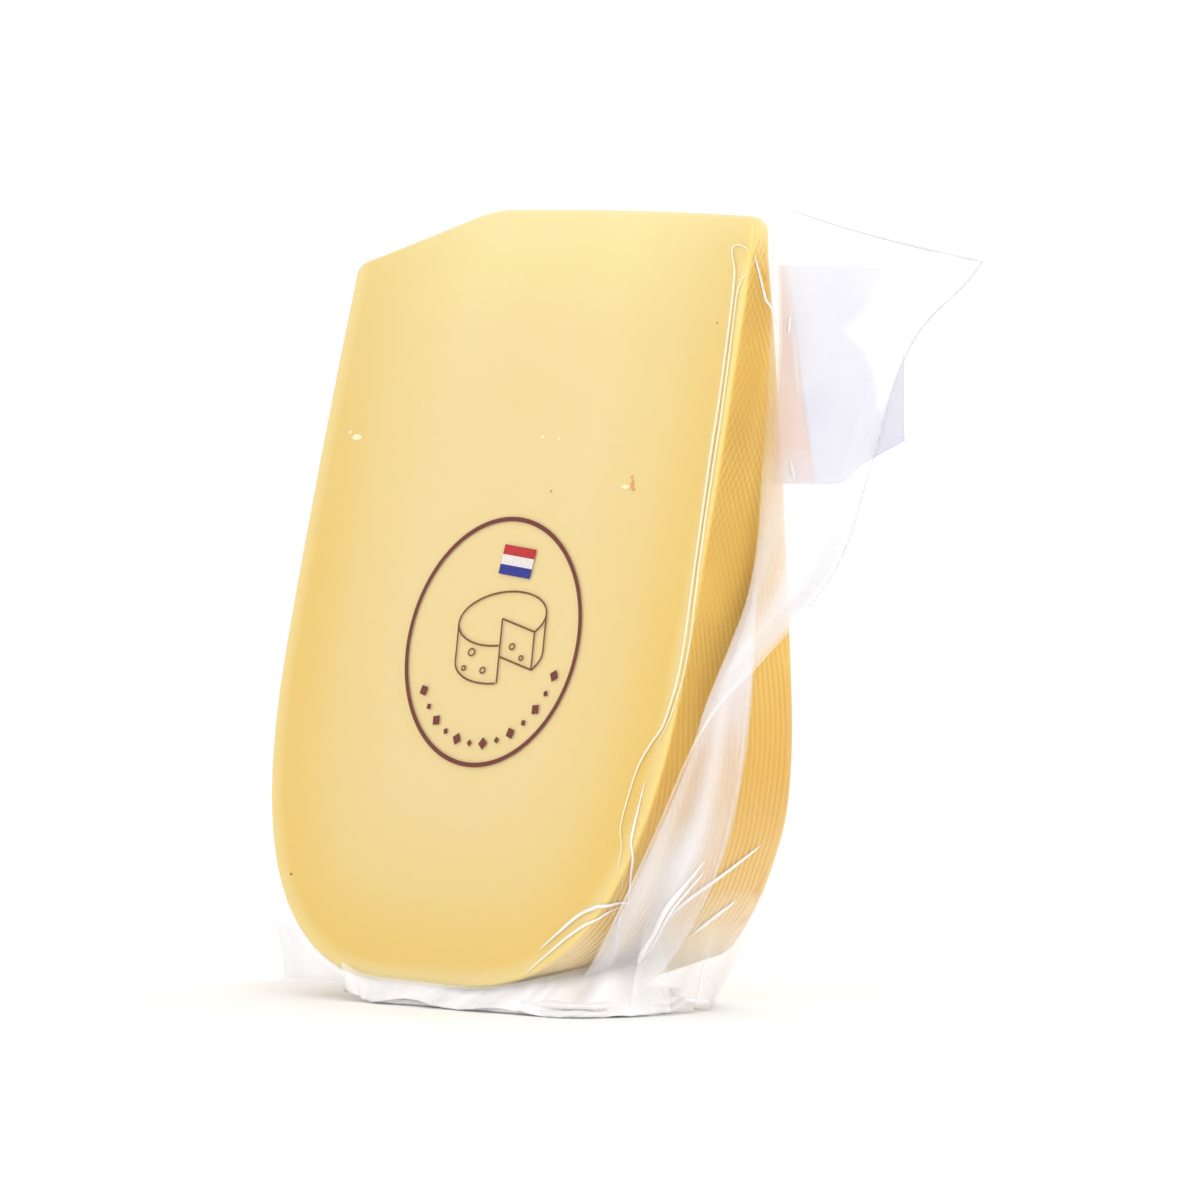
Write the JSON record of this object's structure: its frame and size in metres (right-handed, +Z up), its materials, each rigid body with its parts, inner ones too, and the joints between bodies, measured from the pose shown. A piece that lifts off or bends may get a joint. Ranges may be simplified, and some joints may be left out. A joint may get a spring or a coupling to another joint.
{
  "type": "cheese wedge",
  "caption": "Vacuum-packed wedge of semi-hard cheese standing on its rind, tip up, with loose clear film at both sides and under it.",
  "frame": {"origin": "middle of the footprint on the table, at the underside of the folded film tail", "axes": "+Z up to the wedge's tip, X along the cheese wheel's axis with +X at the side that shows its rind and large film fin, -Y towards the front cut face"},
  "size_m": [0.2105, 0.0571, 0.1758],
  "materials": {
    "cheese": "pale yellow cheese paste under tight glossy film, with a finely ribbed golden rind",
    "film": "thin clear glossy vacuum film with creases and a fine hatched seal"
  },
  "bodies": {
    "root": {"cheese_wedge": "cheese", "vacuum_bag": "film"}
  },
  "joints": []
}
